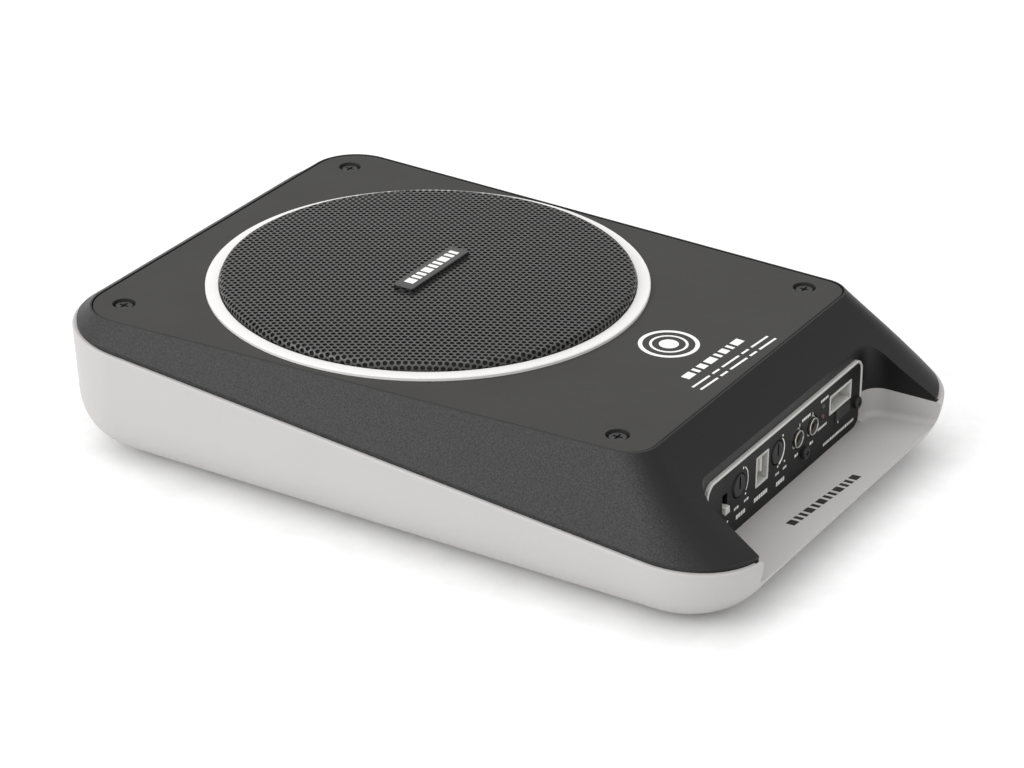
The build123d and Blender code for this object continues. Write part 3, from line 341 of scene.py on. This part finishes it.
def grille_mesh():
    """The dome's outer surface, one cell of sheet round each hole, as corners and faces."""
    corners, faces, index = [], [], {}
    first_turn = pi / 6

    def corner(x, y):
        """Number of the corner at a place on the flat sheet, bent over the dome."""
        along = hypot(x, y)
        if along > arc_end:
            x, y, along = x * arc_end / along, y * arc_end / along, arc_end
        key = (round(x, 3), round(y, 3))
        if key not in index:
            radius, height = on_sheet(along)
            share = radius / along if along else 1.0
            index[key] = len(corners)
            corners.append((x * share * MM, (y * share + DRIVER_Y) * MM, height * MM))
        return index[key]

    row_step = PITCH * sqrt(3) / 2
    rows = int(arc_end / row_step) + 2
    columns = int(arc_end / PITCH) + 2
    reach = PITCH / sqrt(3)         # from a hole's centre to its cell's corners
    for row in range(-rows, rows + 1):
        for column in range(-columns, columns + 1):
            x = (column + (row % 2) / 2) * PITCH
            y = row * row_step
            if hypot(x, y) > arc_end + reach * 0.9:
                continue
            turns = [FULL_TURN * side / SIDES + first_turn for side in range(SIDES)]
            rim = []
            for side, turn in enumerate(turns):
                out = reach if side % 2 == 0 else reach * cos(pi / 6)
                rim.append(corner(x + out * cos(turn), y + out * sin(turn)))
            if hypot(x, y) > arc_end - BORDER:
                if len(set(rim)) > 3:
                    faces.append([spot for step, spot in enumerate(rim) if spot not in rim[:step]])
                continue
            hole = [corner(x + HOLE * cos(turn), y + HOLE * sin(turn)) for turn in turns]
            for side in range(SIDES):
                after = (side + 1) % SIDES
                faces.append((rim[side], rim[after], hole[after], hole[side]))
    return corners, faces


grille = piece("grille_perforated", *grille_mesh(), "grille_paint")
solid = grille.modifiers.new("sheet", "SOLIDIFY")
solid.thickness = SHEET * MM
solid.offset = -1.0
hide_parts("grille")

# ------------------------------------------------------------------ printed marks, all plain shapes
INK = 0.05                  # how far a mark stands proud
EMBLEM_X, EMBLEM_Y = 1.5, -78.0
BADGE_X, BADGE_Y = -2.0, 41.5
FREQUENCY_X, GAIN_X, KNOB_Z = -43.5, -8.3, 37.2
DOT = 0.55
LABEL_GAP = 0.5
TRAY_BACK_Y, TRAY_BACK_Z, TRAY_CLIMB = -136.3, 16.0, 0.0851
plate_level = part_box("top_plate")[1][2]
badge_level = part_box("badge")[1][2]
panel_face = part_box("control_panel")[0][1]


def strip(marks, place, first, second, closed=False):
    """Add a thin raised strip between two rows of points to a (corners, faces) pair."""
    corners, faces = marks
    start, count = len(corners), len(first)
    for one, other in zip(first, second):
        for u, v in (one, other):
            corners.append(place(u, v, 0.0))
            corners.append(place(u, v, INK))
    for step in range(count if closed else count - 1):
        here, after = start + 4 * step, start + 4 * ((step + 1) % count)
        faces.append((here + 1, here + 3, after + 3, after + 1))
        faces.append((here, after, after + 2, here + 2))
        faces.append((here, here + 1, after + 1, after))
        faces.append((here + 2, after + 2, after + 3, here + 3))
    if not closed:
        end = start + 4 * (count - 1)
        faces.append((start, start + 2, start + 3, start + 1))
        faces.append((end, end + 1, end + 3, end + 2))


def circle(u, v, radius, begin=0.0, end=360.0, count=49):
    """Points along an arc, its ends in degrees."""
    turns = [radians(begin + (end - begin) * step / (count - 1)) for step in range(count)]
    return [(u + radius * cos(turn), v + radius * sin(turn)) for turn in turns]


def ring_mark(marks, place, u, v, outer, inner):
    """A closed ring of two radii."""
    strip(marks, place, circle(u, v, outer)[:-1], circle(u, v, inner)[:-1], closed=True)


def dot(marks, place, u, v, radius):
    """A round dot, from its upper edge to the lower edge that mirrors it."""
    upper = circle(u, v, radius, 4, 176, 15)
    strip(marks, place, upper, [(x, 2 * v - y) for x, y in upper])


def bar(marks, place, u0, v0, u1, v1):
    """A straight bar between two corners."""
    strip(marks, place, [(u0, v0), (u1, v0)], [(u0, v1), (u1, v1)])


def dashes(marks, place, start, end, height, widths, gap):
    """A row of upright bars between two points, as wide as the given shares of each other."""
    room = hypot(end[0] - start[0], end[1] - start[1])
    step_u, step_v = (end[0] - start[0]) / room, (end[1] - start[1]) / room
    unit = (room - gap * (len(widths) - 1)) / sum(widths)
    along = 0.0
    for width in widths:
        ends = (along, along + unit * width)
        low = [(start[0] + step_u * a, start[1] + step_v * a) for a in ends]
        strip(marks, place, low, [(u - step_v * height, v + step_u * height) for u, v in low])
        along = ends[1] + gap


def on_plate(u, v, rise):
    """A place on the plate, in metres."""
    return (u * MM, v * MM, plate_level + rise * MM)


def on_badge(u, v, rise):
    """A place on the badge, in metres."""
    return (u * MM, v * MM, badge_level + rise * MM)


def on_panel(u, v, rise):
    """A place on the control panel, in metres."""
    return (u * MM, panel_face - rise * MM, v * MM)


def on_tray(u, v, rise):
    """A place on the tray's floor, in metres; the floor climbs a little towards the front."""
    return (u * MM, v * MM, (TRAY_BACK_Z + TRAY_CLIMB * (TRAY_BACK_Y - v) + rise) * MM)


plate_marks = ([], [])
ring_mark(plate_marks, on_plate, EMBLEM_X, EMBLEM_Y, 13.5, 11.6)
ring_mark(plate_marks, on_plate, EMBLEM_X, EMBLEM_Y, 8.6, 7.4)
dot(plate_marks, on_plate, EMBLEM_X, EMBLEM_Y, 4.4)
dashes(plate_marks, on_plate, (-24.0, -102.0), (21.5, -104.6), 4.2, (3, 1, 2, 3, 1, 2, 1, 3), 2.0)
for row_y in (-111.4, -107.4):
    dashes(plate_marks, on_plate, (-30.0, row_y), (31.0, row_y - 4.0), 1.1, (5, 2, 5, 2, 5), 2.4)
piece("plate_marks", *plate_marks, "ring_paint", look="print_white")

badge_marks = ([], [])
dashes(badge_marks, on_badge, (BADGE_X - 19.5, BADGE_Y - 2.4), (BADGE_X + 19.5, BADGE_Y - 2.4),
       4.8, (2, 1, 1, 2, 1, 1, 2, 1, 1), 1.5)
piece("badge_marks", *badge_marks, "ring_paint", look="print_white")

# The frequency dial's arc is even, and the gain dial's narrows towards its upper end.
panel_marks = ([], [])
strip(panel_marks, on_panel, circle(FREQUENCY_X, KNOB_Z, 8.6, -38, 50),
      circle(FREQUENCY_X, KNOB_Z, 8.15, -38, 50))
for u, v in ((-39.7, 43.9), (-37.0, 30.4)):
    dot(panel_marks, on_panel, u, v, DOT)
inner = circle(GAIN_X, KNOB_Z + 0.2, 6.2, -74, 48)
outer = []
for step in range(len(inner)):
    share = step / (len(inner) - 1)
    turn = radians(-74 + 122 * share)
    radius = 7.5 - 0.9 * share
    outer.append((GAIN_X + radius * cos(turn), KNOB_Z + 0.2 + radius * sin(turn)))
strip(panel_marks, on_panel, outer, inner)
for u, v in ((-3.6, 43.4), (-1.1, 29.9), (-7.4, 29.9), (-52.8, 24.2)):
    dot(panel_marks, on_panel, u, v, DOT)
# Dashes where the labels are: both ends, level, height and widths.
for u0, u1, v, height, widths in (
    (-55.5, -51.0, 28.0, 1.3, (1, 1, 1)),
    (-47.0, -43.2, 26.5, 1.2, (1, 1, 2)),
    (-38.0, -34.2, 26.5, 1.2, (1, 1, 2)),
    (-45.0, -36.9, 21.4, 2.0, (1, 1, 1, 1)),
    (-28.7, -16.7, 21.9, 2.0, (1, 1, 1, 1, 1, 1)),
    (-9.2, -6.2, 26.0, 1.2, (1, 1, 1)),
    (-2.2, 0.8, 26.0, 1.2, (1, 1, 1)),
    (-8.2, -0.7, 20.4, 2.0, (1, 1, 1, 1)),
    (8.6, 11.6, 27.0, 1.3, (2, 1)),
    (23.0, 26.0, 26.7, 1.3, (2, 1)),
    (14.6, 22.4, 41.6, 1.4, (1, 1, 1, 1, 1)),
    (32.5, 39.5, 43.2, 1.2, (1, 1, 1, 1, 1)),
    (30.6, 39.0, 30.2, 1.2, (1, 1, 1, 1, 1, 1, 1)),
    (36.7, 66.4, 20.0, 1.4, (1, 1, 1, 1, 1, 2, 1, 1, 1, 2, 1, 1, 1, 1, 1, 2, 1, 1, 1, 1, 1)),
):
    dashes(panel_marks, on_panel, (u0, v), (u1, v), height, widths, LABEL_GAP)
for u in (12.2, 24.6):
    bar(panel_marks, on_panel, u, 40.4, u + 0.4, 42.2)
bar(panel_marks, on_panel, 50.4, 25.6, 51.0, 28.0)
piece("panel_marks", *panel_marks, "ring_paint", look="print_white")

tray_marks = ([], [])
dashes(tray_marks, on_tray, (-30.6, -158.0), (23.4, -163.0),
       4.4, (2, 1, 1, 2, 1, 2, 1, 1, 2, 1, 1, 2), 1.7)
piece("tray_marks", *tray_marks, "panel_paint", look="print_black")

# ------------------------------------------------------------------ stage, light and camera
FLOOR = 6.0                 # half its side
SENSOR_MM = 36.0
FRAME_WIDTH = 1024
FOCAL_PIXELS = 3604.603     # focal length, in units of the frame's width over 1024
AZIMUTH, ELEVATION, ROLL = -59.0367, 26.6299, -0.4518
DISTANCE, SHIFT_RIGHT, SHIFT_DOWN = 1.62039, 0.038015, 0.045655
DRIVER_TOP = Vector((0, 0.0447, 0.0695))

floor_mesh = bpy.data.meshes.new("floor")
floor_mesh.from_pydata([(-FLOOR, -FLOOR, 0), (FLOOR, -FLOOR, 0), (FLOOR, FLOOR, 0), (-FLOOR, FLOOR, 0)],
                       [], [(0, 1, 2, 3)])
floor = bpy.data.objects.new("floor", floor_mesh)
bpy.context.scene.collection.objects.link(floor)
floor_look = finish("floor_pale", colour(246, 246, 246), 0.9, grain=4.0, mottle=0.004, depth=0.0,
                    specular=0.1)
floor_mesh.materials.append(floor_look)

BRIGHT_SIDE = (-0.55, 0.35, 0.75)
world = bpy.data.worlds.new("studio")
bpy.context.scene.world = world
world.use_nodes = True
sky = world.node_tree
heading = put(sky, "ShaderNodeVectorMath",
              {0: put(sky, "ShaderNodeTexCoord").outputs["Generated"], 1: BRIGHT_SIDE},
              operation="DOT_PRODUCT").outputs["Value"]
sky.links.new(ranged(sky, heading, -0.6, 0.9, 0.4, 1.25), sky.nodes["Background"].inputs["Strength"])
sky.nodes["Background"].inputs["Color"].default_value = (1, 1, 1, 1)


def softbox(name, place, aim, size, power):
    """A rectangular lamp that faces a point."""
    lamp = bpy.data.lights.new(name, "AREA")
    lamp.shape = "RECTANGLE"
    lamp.size, lamp.size_y = size
    lamp.energy = power
    made = bpy.data.objects.new(name, lamp)
    made.location = place
    made.rotation_mode = "QUATERNION"
    made.rotation_quaternion = (Vector(aim) - Vector(place)).to_track_quat("-Z", "Y")
    bpy.context.scene.collection.objects.link(made)


centre = (0.0, 0.0, 0.04)
softbox("key", (-1.7, 0.95, 0.95), centre, (1.3, 1.0), 11)
softbox("overhead", (0.2, 0.2, 2.4), centre, (2.4, 2.4), 10)

azimuth, elevation, roll = radians(AZIMUTH), radians(ELEVATION), radians(ROLL)
back = Vector((sin(azimuth) * cos(elevation), -cos(azimuth) * cos(elevation), sin(elevation)))
right = Vector((cos(azimuth), sin(azimuth), 0))
up = back.cross(right)
across = right * cos(roll) - up * sin(roll)
upward = right * sin(roll) + up * cos(roll)
spot = DRIVER_TOP + back * DISTANCE + right * SHIFT_RIGHT - up * SHIFT_DOWN
camera = bpy.data.objects.new("camera", bpy.data.cameras.new("camera"))
camera.data.sensor_width = SENSOR_MM
camera.data.lens = FOCAL_PIXELS / FRAME_WIDTH * SENSOR_MM
camera.data.clip_start, camera.data.clip_end = 0.05, 50
camera.matrix_world = Matrix((
    (across.x, upward.x, back.x, spot.x),
    (across.y, upward.y, back.y, spot.y),
    (across.z, upward.z, back.z, spot.z),
    (0, 0, 0, 1),
))
bpy.context.scene.collection.objects.link(camera)
bpy.context.scene.camera = camera
bpy.context.scene.view_settings.view_transform = "Standard"
